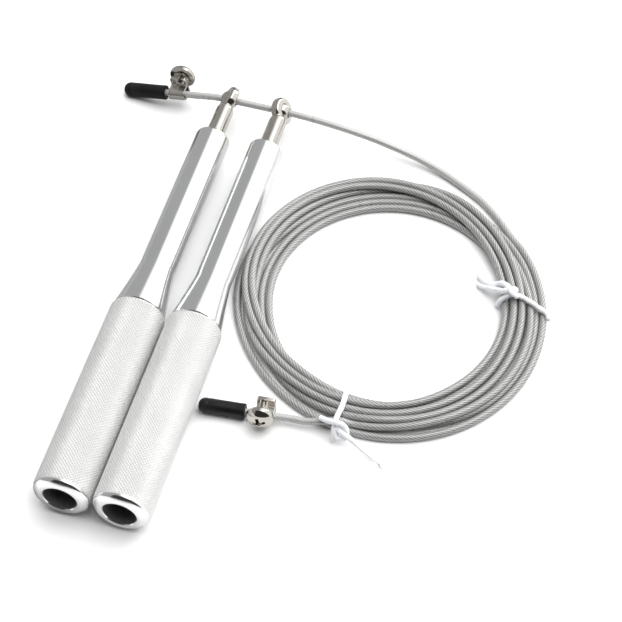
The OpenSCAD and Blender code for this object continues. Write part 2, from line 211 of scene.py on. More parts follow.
def coil_points():
    """The wound rope: every turn starts where it is listed, then settles beside and on the others."""
    per_turn = 360 // STEP_DEG
    total = FULL_TURNS * per_turn + (ENTER_DEG - LEAVE_DEG) // STEP_DEG + 1
    degs, radii, layers = [], [], []
    for n, (rs, ls) in enumerate(TURNS):
        for a, r, l in zip(TURN_DEG, rs, ls):
            degs.append(360 * n + ENTER_DEG - a)
            radii.append(r)
            layers.append(l)
    travelled = np.arange(total) * STEP_DEG
    want_r = np.interp(travelled, degs, radii)
    for _ in range(6):
        want_r[1:-1] = 0.25 * want_r[:-2] + 0.5 * want_r[1:-1] + 0.25 * want_r[2:]
    r = want_r.copy()
    d = ROPE_D / MM
    z = d / 2 + LAYER_STEP * d * np.interp(travelled, degs, layers)
    for sweep in range(SWEEPS):
        for m in range(1, FULL_TURNS + 1):
            a, b = slice(0, total - m * per_turn), slice(m * per_turn, total)
            dr, dz = r[b] - r[a], z[b] - z[a]
            gap = np.hypot(dr, dz)
            push = np.clip(d - gap, 0, None) * 0.5 / np.maximum(gap, 1e-6)
            r[a] -= push * dr
            z[a] -= push * dz
            r[b] += push * dr
            z[b] += push * dz
        z = np.maximum(z, d / 2)
        if sweep < SMOOTH_SWEEPS:
            z[1:-1] += EVEN_OUT * (z[:-2] + z[2:] - 2 * z[1:-1])
            r[1:-1] += EVEN_OUT * (r[:-2] + r[2:] - 2 * r[1:-1])
            r += KEEP_TO * (want_r - r)
            z = np.maximum(z - SINK, d / 2)
    turn = np.radians(ENTER_DEG - travelled)
    x = COIL_AT[0] + r * MM * np.cos(turn)
    y = COIL_AT[1] + r * MM * np.sin(turn)
    return np.stack([x, y, z * MM], 1)


coil = coil_points()
ROPE_STEP = 0.0005
rope_line = smooth_path(np.vstack([LEAD, coil, TAIL]), ROPE_STEP)
rope_length = float(np.linalg.norm(np.diff(rope_line, axis=0), axis=1).sum())

STRANDS = 8
LAY = 0.0115
ROPE_SIDES = 24
LOBE = 0.00007
LEAD_FREE, TAIL_FREE = 0.15, 0.036  # lengths that lie alone, outside the coil
LEAD_FADE, TAIL_FADE = 0.03, 0.01
FREE_LOBE_LOSS = 0.45

run = np.arange(len(rope_line)) * ROPE_STEP
free = np.clip((LEAD_FREE - run) / LEAD_FADE, 0, 1)
free += np.clip((run - rope_length + TAIL_FREE) / TAIL_FADE, 0, 1)
strand_height = 0.5 + 0.5 * np.cos(STRANDS * np.arange(ROPE_SIDES) * 2 * math.pi / ROPE_SIDES)
rope_verts, rope_faces = tube_mesh(
    rope_line,
    lambda i: ROPE_D / 2 - 2 * LOBE * (1 - FREE_LOBE_LOSS * free[i]) * (1 - strand_height),
    ROPE_SIDES,
    -2 * math.pi * ROPE_STEP / LAY,
)
rope = mesh_object("wire_rope", rope_verts, rope_faces, smooth_angle=None)


def store(obj, name, values):
    attribute = obj.data.attributes.new(name, "FLOAT", "POINT")
    attribute.data.foreach_set("value", np.asarray(values, np.float32))


store(rope, "strand", np.concatenate([np.tile(strand_height, len(rope_line)), [0, 0]]))
store(rope, "free", np.concatenate([np.repeat(free, ROPE_SIDES), [1, 1]]))
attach(rope, "rope")
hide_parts("rope_lead", "rope_coil", "rope_tail")


# ---------------------------------------------------------------- materials


def new_material(name, color, metallic, roughness, **sockets):
    mat = bpy.data.materials.new(name)
    mat.use_nodes = True
    tree = mat.node_tree
    bsdf = tree.nodes["Principled BSDF"]
    bsdf.inputs["Base Color"].default_value = (*color, 1)
    bsdf.inputs["Metallic"].default_value = metallic
    bsdf.inputs["Roughness"].default_value = roughness
    for key, value in sockets.items():
        bsdf.inputs[key.replace("_", " ")].default_value = value
    return mat, tree, bsdf


def node(tree, kind, **values):
    made = tree.nodes.new(kind)
    for key, value in values.items():
        if key.startswith("in_"):
            made.inputs[key[3:].replace("_", " ")].default_value = value
        else:
            setattr(made, key, value)
    return made


def noise(tree, scale, detail=3, stretch=(1, 1, 1)):
    """Noise in object space, drawn out by stretch."""
    coord = node(tree, "ShaderNodeTexCoord")
    mapping = node(tree, "ShaderNodeMapping", in_Scale=stretch)
    tree.links.new(coord.outputs["Object"], mapping.inputs["Vector"])
    made = node(tree, "ShaderNodeTexNoise", in_Scale=scale, in_Detail=detail)
    tree.links.new(mapping.outputs["Vector"], made.inputs["Vector"])
    return made.outputs["Fac"]


def spread(tree, source, low, high, socket):
    """Maps a 0.3 to 0.7 source to low and high, into socket."""
    made = node(tree, "ShaderNodeMapRange")
    for key, value in (("From Min", 0.3), ("From Max", 0.7), ("To Min", low), ("To Max", high)):
        made.inputs[key].default_value = value
    tree.links.new(source, made.inputs["Value"])
    tree.links.new(made.outputs["Result"], socket)


def tint(tree, source, low, high, socket, at=(0.3, 0.7)):
    """Colours from low to high as the source goes through at, into socket."""
    ramp = node(tree, "ShaderNodeValToRGB")
    ramp.color_ramp.elements[0].position = at[0]
    ramp.color_ramp.elements[1].position = at[1]
    ramp.color_ramp.elements[0].color = (*low, 1)
    ramp.color_ramp.elements[1].color = (*high, 1)
    tree.links.new(source, ramp.inputs["Fac"])
    tree.links.new(ramp.outputs["Color"], socket)


def bump(tree, bsdf, source, strength, distance):
    made = node(tree, "ShaderNodeBump", in_Strength=strength, in_Distance=distance)
    tree.links.new(source, made.inputs["Height"])
    tree.links.new(made.outputs["Normal"], bsdf.inputs["Normal"])


def metal(name, dark, light, rough, lines=(1, 1, 1), line_scale=900, bump_size=0.000004, metallic=1.0):
    """Bare or plated metal: fine machining lines, soft stains in the finish."""
    mat, tree, bsdf = new_material(name, light, metallic, rough[0])
    tint(tree, noise(tree, 60), dark, light, bsdf.inputs["Base Color"])
    spread(tree, noise(tree, line_scale, 4, lines), rough[0], rough[1], bsdf.inputs["Roughness"])
    bump(tree, bsdf, noise(tree, line_scale * 1.5, 2, lines), 0.15, bump_size)
    return mat


ROUND_LINES = (0.15, 1, 0.15)

M = {
    "aluminium": metal(
        "polished_aluminium", (0.90, 0.905, 0.91), (0.94, 0.945, 0.95), (0.10, 0.17), ROUND_LINES
    ),
    "knurl": metal(
        "knurled_aluminium", (0.745, 0.745, 0.738), (0.795, 0.795, 0.787), (0.32, 0.40), metallic=0.55
    ),
    # Painted shade: the bore's aluminium is painted dark grey for the shade inside the tube.
    "bore": metal(
        "aluminium_bore_painted_shade", (0.20, 0.20, 0.205), (0.28, 0.28, 0.285), (0.32, 0.42), ROUND_LINES, metallic=0.6
    ),
    "nickel": metal("nickel_plate", (0.58, 0.555, 0.51), (0.68, 0.65, 0.60), (0.05, 0.10)),
    "stamped": metal("stamped_nickel", (0.66, 0.635, 0.59), (0.74, 0.715, 0.67), (0.16, 0.24)),
    "zinc": metal("zinc_plate", (0.60, 0.61, 0.63), (0.70, 0.71, 0.73), (0.25, 0.35)),
    "steel": metal("bearing_steel", (0.55, 0.56, 0.58), (0.66, 0.67, 0.69), (0.12, 0.2)),
    "brass": metal("cage_brass", (0.66, 0.50, 0.22), (0.78, 0.62, 0.30), (0.22, 0.32)),
}


def rope_material():
    """Steel strands seen through a clear, slightly glossy coat, with painted shade: dark grooves between
    strands, and a darker coil than where the rope lies alone.
    """
    mat, tree, bsdf = new_material(
        "coated_wire_rope", (0.4, 0.4, 0.4), 0.3, 0.32, Coat_Weight=0.5, Coat_Roughness=0.22
    )
    strand = node(tree, "ShaderNodeAttribute", attribute_name="strand")
    free_part = node(tree, "ShaderNodeAttribute", attribute_name="free")
    grain_and_groove_shade = node(tree, "ShaderNodeMath", operation="MULTIPLY_ADD")
    grain_and_groove_shade.inputs[1].default_value = 0.35
    tree.links.new(noise(tree, 1400, 3), grain_and_groove_shade.inputs[0])
    tree.links.new(strand.outputs["Fac"], grain_and_groove_shade.inputs[2])
    both = node(tree, "ShaderNodeMix", data_type="RGBA")
    # Noise grain plus strand height; the low strand value carries painted shade in the grooves.
    steel = grain_and_groove_shade.outputs[0]
    # Painted shade: in the coil the grooves go near black and the strands darker; where the rope lies alone
    # both are paler.
    tint(tree, steel, (0.05, 0.05, 0.048), (0.50, 0.50, 0.49), both.inputs["A"], (0.1, 0.9))
    tint(tree, steel, (0.36, 0.36, 0.35), (0.58, 0.58, 0.57), both.inputs["B"], (0.1, 0.8))
    tree.links.new(free_part.outputs["Fac"], both.inputs["Factor"])
    tree.links.new(both.outputs["Result"], bsdf.inputs["Base Color"])
    spread(tree, noise(tree, 300), 0.26, 0.4, bsdf.inputs["Roughness"])
    return mat


M["rope"] = rope_material()


def rubber_material():
    mat, tree, bsdf = new_material("black_rubber", (0.008, 0.008, 0.009), 0, 0.35, Specular_IOR_Level=0.32)
    tint(tree, noise(tree, 250), (0.005, 0.005, 0.006), (0.010, 0.010, 0.011), bsdf.inputs["Base Color"])
    spread(tree, noise(tree, 500, 4), 0.28, 0.42, bsdf.inputs["Roughness"])
    bump(tree, bsdf, noise(tree, 900, 3), 0.2, 0.00003)
    return mat


M["rubber"] = rubber_material()


def tie_material():
    mat, tree, bsdf = new_material("tie_plastic", (0.9, 0.91, 0.94), 0, 0.42, Subsurface_Weight=0.25)
    bsdf.inputs["Subsurface Radius"].default_value = (0.001, 0.001, 0.001)
    tint(tree, noise(tree, 500), (0.84, 0.86, 0.90), (0.93, 0.94, 0.96), bsdf.inputs["Base Color"])
    spread(tree, noise(tree, 700, 4), 0.35, 0.5, bsdf.inputs["Roughness"])
    bump(tree, bsdf, noise(tree, 1200, 3), 0.3, 0.00005)
    return mat


M["tie"] = tie_material()


def paint(obj, *mats):
    if obj.data.materials:
        obj.data.materials.clear()
    for m in mats:
        obj.data.materials.append(M[m])


paint(rope, "rope")


# ---------------------------------------------------------------- handles

HANDLE_X, REAR_Y, AXIS_Z = 0.008975, -0.0824, 0.0088
STARTS = 52
GRIP_FROM, GRIP_TO = 1.9, 68.4
KNURL_PEAK, KNURL_VALLEY = 8.8, 8.545
REAR_R, RIM_FROM, RIM_LENGTH, RIM_RISE = 6.86, 0.06, 1.3, 1.55
TAPER_FROM, TAPER_LENGTH, SHOULDER_R, TUBE_R = 69, 17.5, 8.3, 5.65
TUBE_END, EDGE_R = 143.3, 1.1
BEARING_R, STOP_R, NUT_ROOM_R, BORE_R = 4.0, 3.4, 4.4, 5.1
POLISHED, KNURLED, BORED = 0, 1, 2


def taper_radius(t):
    """Radius of the taper; t runs from 0 at the shoulder to 1 at the slim tube."""
    return TUBE_R + (SHOULDER_R - TUBE_R) * (1 - t) * (0.75 + 0.25 * (1 - t))


def outer_rings():
    """Rear rim, knurled grip, taper and slim tube as (station, radius, material); None is a knurl ring."""
    rings = [(0.0, 5.35), (0.0, 6.72), (RIM_FROM, REAR_R)]
    for t in (0.12, 0.25, 0.4, 0.55, 0.7, 0.85):
        rings.append((RIM_FROM + RIM_LENGTH * t, REAR_R + RIM_RISE * math.sin(t * math.pi / 2)))
    rings += [(1.36, 8.43), (1.5, 8.46), (1.7, 8.48)]
    rings = [(y, r, POLISHED) for y, r in rings]
    knurl_steps = 2 * int(round((GRIP_TO - GRIP_FROM) / (2 * math.pi * KNURL_PEAK / STARTS)))
    pitch = (GRIP_TO - GRIP_FROM) / knurl_steps
    rings.append((GRIP_FROM, KNURL_VALLEY, KNURLED))
    rings += [(GRIP_FROM + pitch * j, None, KNURLED) for j in range(1, knurl_steps)]
    rings.append((GRIP_TO, KNURL_VALLEY, KNURLED))
    rings += [(68.8, 8.42, POLISHED), (69.0, SHOULDER_R, POLISHED)]
    rings += [(TAPER_FROM + TAPER_LENGTH * t, taper_radius(t), POLISHED) for t in np.linspace(0.02, 1, 22)]
    rings += [(y, TUBE_R, POLISHED) for y in (86.7, 90, 100, 110, 120, 130, 138, 142.1)]
    for a in np.linspace(0.15, math.pi / 2, 8):
        inward, back = 1 - math.cos(a), 1 - math.sin(a)
        rings.append((TUBE_END - EDGE_R * back, TUBE_R - EDGE_R * inward, POLISHED))
    return rings + [(TUBE_END, 4.15, POLISHED)]


def bore_rings():
    """From the front bearing seat back to the open rear bore."""
    rings = [(143.2, BEARING_R), (138.8, BEARING_R), (138.8, STOP_R), (129.3, STOP_R), (129.3, BEARING_R)]
    rings += [(126.3, BEARING_R), (126.3, NUT_ROOM_R), (100, NUT_ROOM_R), (65.2, NUT_ROOM_R)]
    rings += [(y, BORE_R) for y in (64.0, 40, 15, 3, 0.25)]
    return [(y, r, BORED) for y, r in rings]


def make_handle(side, name):
    """One turned body, outside and bore, with a diamond knurl of real pyramids."""
    count = 2 * STARTS
    verts, faces, mats = [], [], []
    rings = outer_rings() + bore_rings()
    for j, (y, r, _) in enumerate(rings):
        for i in range(count):
            a = 2 * math.pi * i / count
            radius = r
            if r is None:
                radius = KNURL_VALLEY if (i + j) % 2 == 0 else KNURL_PEAK
            x, z = radius * MM * math.sin(a), radius * MM * math.cos(a)
            verts.append((side * HANDLE_X + x, REAR_Y + y * MM, AXIS_Z + z))
    total = len(rings)
    for j in range(total):
        n = (j + 1) % total
        knurled = rings[j][1] is None or rings[n][1] is None
        for i in range(count):
            k = (i + 1) % count
            a, b, c, d = j * count + i, j * count + k, n * count + k, n * count + i
            if not knurled:
                faces.append((a, b, c, d))
                mats.append(rings[n][2])
            elif (i + j) % 2 == 0:
                faces += [(a, b, c), (a, c, d)]
                mats += [KNURLED] * 2
            else:
                faces += [(a, b, d), (b, c, d)]
                mats += [KNURLED] * 2
    faces = [tuple(reversed(f)) for f in faces]
    obj = mesh_object(name, verts, faces, smooth_angle=28, material_of=mats)
    obj.data.polygons.foreach_set("use_smooth", [m != KNURLED for m in mats])
    paint(obj, "aluminium", "knurl", "bore")
    return obj


for side, word in ((-1, "left"), (1, "right")):
    shell = make_handle(side, f"{word}_grip_and_tube")
    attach(shell, f"{word}_handle")
    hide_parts(f"{word}_handle_body")


# ---------------------------------------------------------------- small turned and bent pieces, in mm


def lathe(profile, sides=48, closed=False):
    """Solid turned about Z from (z, r) pairs; closed joins the last ring to the first."""
    verts, faces = [], []
    for z, r in profile:
        verts += [(r * math.cos(a), r * math.sin(a), z) for a in np.arange(sides) * 2 * math.pi / sides]
    count = len(profile)
    for j in range(count if closed else count - 1):
        n = (j + 1) % count
        for i in range(sides):
            k = (i + 1) % sides
            faces.append((j * sides + i, j * sides + k, n * sides + k, n * sides + i))
    if not closed:
        faces += [tuple(range(sides)), tuple(range((count - 1) * sides, count * sides))]
    return verts, faces


def baked(obj, name, smooth_angle, place=None):
    """The object with its modifiers applied, as a new object in metres at place; the old one goes."""
    bpy.context.view_layer.update()
    ready = obj.evaluated_get(bpy.context.evaluated_depsgraph_get())
    mesh = bpy.data.meshes.new_from_object(ready)
    bpy.data.objects.remove(obj)
    if place is not None:
        mesh.transform(place @ Matrix.Scale(MM, 4))
    finish_mesh(mesh, smooth_angle)
    made = bpy.data.objects.new(name, mesh)
    scene.collection.objects.link(made)
    return made


def cut(obj, other, operation="DIFFERENCE"):
    step = obj.modifiers.new(operation.lower(), "BOOLEAN")
    step.operation = operation
    step.object = other
    step.solver = "EXACT"


def hand_over(obj, body, node_name, slot, *mats):
    """The piece rides on a body and stands for a CAD node."""
    paint(obj, *mats)
    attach(obj, body)
    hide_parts(node_name)
    return obj


def moved(x, y, z):
    return Matrix.Translation((x * MM, y * MM, z * MM))


def on_line(line, distance):
    """X along a line, with the origin some way from its start."""
    a, b = Vector(line[0]), Vector(line[1])
    along = (b - a).normalized()
    across = Vector((-along.y, along.x, 0)).normalized()
    turn = Matrix((along, across, along.cross(across))).transposed().to_4x4()
    return Matrix.Translation((a + along * distance) * MM) @ turn


# ---------------------------------------------------------------- eyes and stems

EYE_Y, EYE_ROLL = 160.6, math.radians(30)
EYE_R, EYE_HALF, EYE_ROUND = 4.6, 1.65, 1.15
SOCKET_R = 3.03
NECK_FROM = 142.05


def stem_profile():
    """Thread, journal, step and neck, measured from the rear face."""
    rings = [(120.99, 0.02), (121, 1.1), (121.25, 1.45)]
    rings += [(121.4 + 0.25 * k, 1.48 if k % 2 else 1.25) for k in range(18)]
    rings += [(126.0, 1.5), (126.3, 1.5), (126.35, 1.99), (141.8, 1.99), (141.8, 2.3), (141.9, 2.45)]
    rings += [(142.1, 2.45), (142.1, 2.75), (142.3, 2.9), (143.2, 2.92), (146, 2.88), (150, 2.82)]
    rings += [(153, 2.86), (155.4, 2.9)]
    rings += [(156.4, 2.7), (157.2, 2.3), (158, 1.8), (158.6, 1.2), (158.7, 0.02)]
    return rings


def make_stem(side, word):
    """Eye and neck, joined with soft edges and cut for the ball, and the shank as a second piece."""
    along_handle = Matrix.Rotation(math.radians(-90), 4, "X")
    across = Matrix.Rotation(-side * EYE_ROLL, 4, "Y") @ Matrix.Rotation(math.radians(90), 4, "Y")
    neck = mesh_object("neck", *lathe([p for p in stem_profile() if p[0] > NECK_FROM]))
    neck.data.transform(along_handle @ Matrix.Translation((0, 0, -EYE_Y)))
    corner = [
        (EYE_HALF - EYE_ROUND * (1 - math.sin(a)), EYE_R - EYE_ROUND * (1 - math.cos(a)))
        for a in np.linspace(0, math.pi / 2, 7)
    ]
    puck = [(-EYE_HALF, 0.02)] + [(-z, r) for z, r in reversed(corner)] + corner + [(EYE_HALF, 0.02)]
    ring = mesh_object("ring", *lathe(puck, 96))
    ring.data.transform(across)
    cut(neck, ring, "UNION")
    remesh = neck.modifiers.new("remesh", "REMESH")
    remesh.mode = "VOXEL"
    remesh.voxel_size = 0.14
    soften = neck.modifiers.new("soften", "SMOOTH")
    soften.factor = 0.5
    soften.iterations = 10
    blank = baked(neck, "eye_blank", None, Matrix.Scale(1000, 4))
    bpy.data.objects.remove(ring)
    half_turn = np.linspace(0, math.pi, 33)
    ball = [(-SOCKET_R * math.cos(a), max(0.02, SOCKET_R * math.sin(a))) for a in half_turn]
    socket = mesh_object("socket", *lathe(ball, 64))
    socket.data.transform(across)
    cut(blank, socket)
    place = moved(side * HANDLE_X / MM, REAR_Y / MM + EYE_Y, AXIS_Z / MM)
    eye = baked(blank, f"{word}_eye", 40, place)
    bpy.data.objects.remove(socket)
    hand_over(eye, f"{word}_stem", f"{word}_stem", "stem", "nickel")
    profile = [p for p in stem_profile() if p[0] < 142.2] + [(142.3, 2.5), (142.3, 0.02)]
    rear = moved(side * HANDLE_X / MM, REAR_Y / MM, AXIS_Z / MM)
    shank = baked(mesh_object("shank", *lathe(profile)), f"{word}_shank", 35, rear @ along_handle)
    paint(shank, "nickel")
    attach(shank, f"{word}_stem")


for side, word in ((-1, "left"), (1, "right")):
    make_stem(side, word)


# ---------------------------------------------------------------- rope ends: caps, straps and screws

UPPER_LINE = ((-43, 79.2, 2.4), (-18, 78.2, 7.9))
LOWER_LINE = ((19, -35.7, 2.4), (46, -33, 2.4))
CAP_R, TIP = 2.38, 2.3
STRAP_T, EAR_Y, EAR_TOP, EAR_ROUND, STRAP_HALF = 0.6, 2.1, 4.6, 0.7, 2.8
SCREW_Z, SCREW_SHIFT, WASHERS, HEAD_R, HEAD_TOP = 3.4, 0.7, 0.7, 4.3, 3.3
THREAD_PEAK, THREAD_ROOT, THREAD_STEP = 1.47, 1.22, 0.25
SEAT = {1: 3.3, -1: 1.95}  # from the rope to the first washer, by the side that the head is on


def make_cap(word, line, open_end, length):
    """Rubber cap with a hollow for the rope, a lip, a shallow groove and a rounded tip."""
    r = CAP_R
    profile = [(10, 0.02), (10, 1.2), (0.4, 1.2), (0.05, 1.4), (0, 1.6), (0, 2.15)]
    profile += [(0.12, 2.36), (0.5, 2.42), (0.8, 2.4)]
    profile += [(z, r) for z in (1.0, 4.0, 8.0, length - 3.3)]
    groove = ((3.15, 0.05), (3.0, 0.06), (2.85, 0.03), (2.6, 0))
    profile += [(length - back, r - depth) for back, depth in groove]
    for a in np.linspace(0.15, 1.5, 9):
        profile.append((length - TIP + TIP * math.sin(a), r * math.cos(a) ** 0.8))
    profile += [(length, 0.02)]
    cap = mesh_object("cap", *lathe(profile))
    place = on_line(line, open_end) @ Matrix.Rotation(math.radians(-90), 4, "Y")
    cap = baked(cap, f"{word}_cap", 50, place)
    return hand_over(cap, "rope", f"{word}_end_cap", "cap", "rubber")


def arc_points(at, radius, first, last, count):
    angles = np.radians(np.linspace(first, last, count))
    return [(at[0] + radius * math.cos(a), at[1] + radius * math.sin(a)) for a in angles]


def make_strap(word, line, mid):
    """Flat strip bent round the rope, with both ends turned up as a pair of ears behind it."""
    near, far, mid_r = EAR_Y + STRAP_T / 2, EAR_Y + 1.5 * STRAP_T, 1.25 + STRAP_T / 2
    section = [(near, EAR_TOP), (near, 3.6)] + arc_points((near - 0.7, mid_r + 0.7), 0.7, 0, -90, 5)
    section += arc_points((-0.2, 0), mid_r, 90, 270, 17) + [(0.6, -mid_r)]
    section += arc_points((far - 0.9, 0.9 - mid_r), 0.9, -90, 0, 6)
    section += [(far, 1.5), (far, 3.6), (far, EAR_TOP)]
    section = np.array(section)
    along = np.gradient(section, axis=0)
    along /= np.linalg.norm(along, axis=1)[:, None]
    outward = np.stack([along[:, 1], -along[:, 0]], 1) * STRAP_T / 2
    stations = [-STRAP_HALF + EAR_ROUND * t for t in (0, 0.15, 0.45, 1)]
    stations += [-x for x in reversed(stations)]
    verts, faces = [], []
    for x in stations:
        inward = max(0.0, abs(x) - (STRAP_HALF - EAR_ROUND))
        drop = EAR_ROUND - math.sqrt(max(0.0, EAR_ROUND**2 - inward**2))
        for sign in (1, -1):
            surface = section + sign * outward
            verts += [(x, y, z - (drop if z > EAR_TOP - 0.1 else 0)) for y, z in surface]
    n = len(section)
    for j in range(len(stations) - 1):
        row, after = 2 * n * j, 2 * n * (j + 1)
        for first in (0, n):
            a, b = row + first, after + first
            faces += [(a + k, a + k + 1, b + k + 1, b + k) for k in range(n - 1)]
        faces += [(row + k, row + n + k, after + n + k, after + k) for k in (0, n - 1)]
    for row in (0, 2 * n * (len(stations) - 1)):
        faces += [(row + k, row + k + 1, row + n + k + 1, row + n + k) for k in range(n - 1)]
    strap = mesh_object("strap", verts, faces)
    bevel = strap.modifiers.new("edges", "BEVEL")
    bevel.width = 0.1
    bevel.segments = 2
    bevel.limit_method = "ANGLE"
    bevel.angle_limit = math.radians(50)
    strap = baked(strap, f"{word}_strap", 30, on_line(line, mid))
    return hand_over(strap, f"{word}_clamp", f"{word}_clamp_strap", "clamp", "stamped")


def screw_place(line, mid, head_side):
    """Z along the screw, from its first washer outwards."""
    at = moved(head_side * SCREW_SHIFT, head_side * SEAT[head_side], SCREW_Z)
    return on_line(line, mid) @ at @ Matrix.Rotation(math.radians(-90 * head_side), 4, "X")


def make_screw(word, line, mid, head_side, shank, backed_out, recess_turn):
    """Pan head with a cross recess, a threaded shank, and two washers under the head."""
    profile = [(-shank, 0.02), (-shank, 1.0), (0.3 - shank, 1.4)]
    for k in range(int(shank / THREAD_STEP) - 3):
        profile.append((0.45 - shank + THREAD_STEP * k, THREAD_PEAK if k % 2 else THREAD_ROOT))
    profile += [(-0.2, THREAD_PEAK), (0, THREAD_PEAK), (0, HEAD_R - 0.3), (0.1, HEAD_R - 0.1)]
    profile += [(0.3, HEAD_R), (0.8, HEAD_R)]
    profile += [(0.8 + 2.5 * math.sin(a) ** 1.2, HEAD_R * math.cos(a)) for a in np.linspace(0.1, 1.5, 14)]
    profile += [(HEAD_TOP, 0.02)]
    screw = mesh_object("screw", *lathe(profile, 64))
    cross = [(1, 1), (1, 4), (-1, 4), (-1, 1), (-4, 1), (-4, -1)]
    cross += [(-x, -y) for x, y in cross]
    verts = [(wide * x, wide * y, z) for wide, z in ((0.62, 4.0), (0.34, 1.3)) for x, y in cross]
    faces = [tuple(range(12)), tuple(range(12, 24))]
    faces += [(k, (k + 1) % 12, 12 + (k + 1) % 12, 12 + k) for k in range(12)]
    recess = mesh_object("recess", verts, faces)
    recess.data.transform(Matrix.Rotation(math.radians(recess_turn), 4, "Z"))
    cut(screw, recess)
    place = screw_place(line, mid, head_side)
    screw = baked(screw, f"{word}_pan_screw", 35, place @ moved(0, 0, WASHERS + backed_out))
    bpy.data.objects.remove(recess)
    body = f"{word}_clamp_screw"
    hand_over(screw, body, f"{word}_clamp_screw", "clamp", "nickel")
    edge = 0.06
    verts, faces = [], []
    for low, high, r in ((0.0, 0.26, 2.7), (0.32, 0.68, 2.45)):
        section = [(low, 1.6), (low, r - edge), (low + edge, r)]
        section += [(high - z, radius) for z, radius in ((edge, r), (0, r - edge), (0, 1.6))]
        more_verts, more_faces = lathe(section, closed=True)
        faces += [tuple(k + len(verts) for k in f) for f in more_faces]
        verts += more_verts
    washers = baked(mesh_object("washers", verts, faces), f"{word}_washers", 35, place)
    hand_over(washers, body, f"{word}_clamp_washer", "clamp", "stamped")
    return [screw, washers]


rope_pieces = [make_cap("upper", UPPER_LINE, 12.2, 15.3), make_cap("lower", LOWER_LINE, 12.5, 14.3)]
rope_pieces += [make_strap("upper", UPPER_LINE, 16.4), make_strap("lower", LOWER_LINE, 18.3)]
rope_pieces += make_screw("upper", UPPER_LINE, 16.4, 1, 3.3, 0.2, 10)
rope_pieces += make_screw("lower", LOWER_LINE, 18.3, -1, 5.0, 0, 20)


# ---------------------------------------------------------------- string ties

STRING_R = 0.00085


def draped(path, radius):
    """Lifts the path where it would cut into the rope."""
    reach = ROPE_D / 2 + radius
    for _ in range(3):
        gap = path[:, None, :2] - rope_line[None, :, :2]
        away = np.hypot(gap[:, :, 0], gap[:, :, 1])
        top = rope_line[None, :, 2] + np.sqrt(np.clip(reach**2 - away**2, 0, None))
        need = np.where(away < reach, top, 0)
        lifted = np.maximum(path[:, 2], need.max(1))
        smooth = lifted.copy()
        for _ in range(6):
            smooth[1:-1] = 0.25 * smooth[:-2] + 0.5 * smooth[1:-1] + 0.25 * smooth[2:]
        path[:, 2] = np.maximum(smooth, path[:, 2])
    return path


def string_tube(points, start=1.0, end=1.0, drape=True, thin_from=0.6, body=1.0):
    """A string through the points in millimetres; start, body and end are its relative thickness there."""
    path = smooth_path(np.array(points, float) * MM, 0.0003)
    if drape:
        path = draped(path, STRING_R * 0.9)
    share = np.linspace(0, 1, len(path))
    size = np.interp(share, [0, 0.15, thin_from, 1], [start, body, body, end])
    ridge = 1 + 0.05 * np.cos(2 * np.arange(16) * 2 * math.pi / 16)
    wobble = 1 + 0.05 * np.sin(share * 37 + len(path))
    return tube_mesh(path, lambda i: STRING_R * size[i] * wobble[i] * ridge, 16, 0.03)


def make_tie(name, node_name, strings):
    """Several strings, each (points, options of string_tube), as one piece."""
    verts, faces = [], []
    for points, options in strings:
        more_verts, more_faces = string_tube(points, **options)
        faces += [tuple(k + len(verts) for k in f) for f in more_faces]
        verts += [tuple(v) for v in more_verts]
    tie = mesh_object(name, verts, faces, smooth_angle=None)
    return hand_over(tie, "rope", node_name, "tie", "tie")


RIGHT_TIE = [
    (
        [
            (93.9, 26.5, 0.9), (94.3, 26.6, 2.0), (95.2, 27.0, 3.8), (96.8, 27.7, 5.4),
            (98.3, 28.3, 5.6), (100.3, 28.4, 5.4), (103.7, 27.7, 4.6), (106.8, 27.0, 3.4),
            (109.0, 26.4, 2.4), (110.2, 25.4, 1.4), (110.3, 24.3, 0.9),
        ],
        {},
    ),
    (
        [
            (99.6, 27.4, 6.2), (98.4, 27.3, 7.2), (97.2, 28.2, 7.6), (96.0, 29.8, 7.2),
            (94.7, 31.1, 6.2), (93.2, 32.1, 4.8), (90.8, 32.2, 3.0), (87.9, 34.0, 1.6),
            (85.5, 36.3, 0.9),
        ],
        {"end": 0.75},
    ),
    (
        [
            (98.9, 29.9, 6.0), (97.9, 29.4, 7.0), (96.6, 28.6, 7.2), (95.3, 28.3, 6.4),
            (93.6, 29.3, 4.8), (90.2, 30.6, 3.0), (88.8, 31.3, 1.9), (86.0, 32.8, 0.9),
        ],
        {"end": 0.7},
    ),
]
FRAYED = {"start": 0.3, "body": 0.28, "end": 0.08, "drape": False}
LOWER_TIE = [
    (
        [
            (58.3, -17.2, 0.9), (58.5, -18.6, 2.2), (58.7, -21.4, 3.8), (58.8, -25.4, 4.6),
            (58.6, -29.2, 5.6), (58.5, -32.2, 6.0), (58.6, -34.4, 4.6), (58.8, -35.6, 2.6),
            (58.8, -35.4, 0.9),
        ],
        {},
    ),
    (
        [
            (53.6, -31.9, 4.9), (55.6, -32.7, 5.6), (57.6, -33.4, 6.6), (59.6, -33.7, 7.2),
            (61.6, -33.8, 6.4), (62.6, -34.8, 4.8), (62.0, -36.0, 3.4), (60.4, -36.3, 3.0),
            (59.2, -35.6, 4.2), (59.2, -34.6, 5.6),
        ],
        {"start": 0.85, "end": 0.8, "drape": False},
    ),
    (
        [
            (59.0, -33.4, 5.0), (60.4, -34.8, 5.2), (62.2, -35.7, 4.8), (64.6, -36.2, 3.6),
            (67.4, -37.2, 2.2), (70.8, -38.6, 1.1), (74.3, -40.2, 0.9),
        ],
        {"end": 0.3, "drape": False, "thin_from": 0.35},
    ),
    ([(73.6, -39.9, 0.7), (74.6, -40.1, 0.5), (75.8, -40.1, 0.35)], FRAYED),
    ([(73.6, -39.9, 0.7), (74.5, -40.5, 0.5), (75.4, -41.2, 0.35)], FRAYED),
]
rope_pieces.append(make_tie("right_string_tie", "right_tie", RIGHT_TIE))
rope_pieces.append(make_tie("lower_string_tie", "lower_tie", LOWER_TIE))


# ---------------------------------------------------------------- CAD pieces that are kept

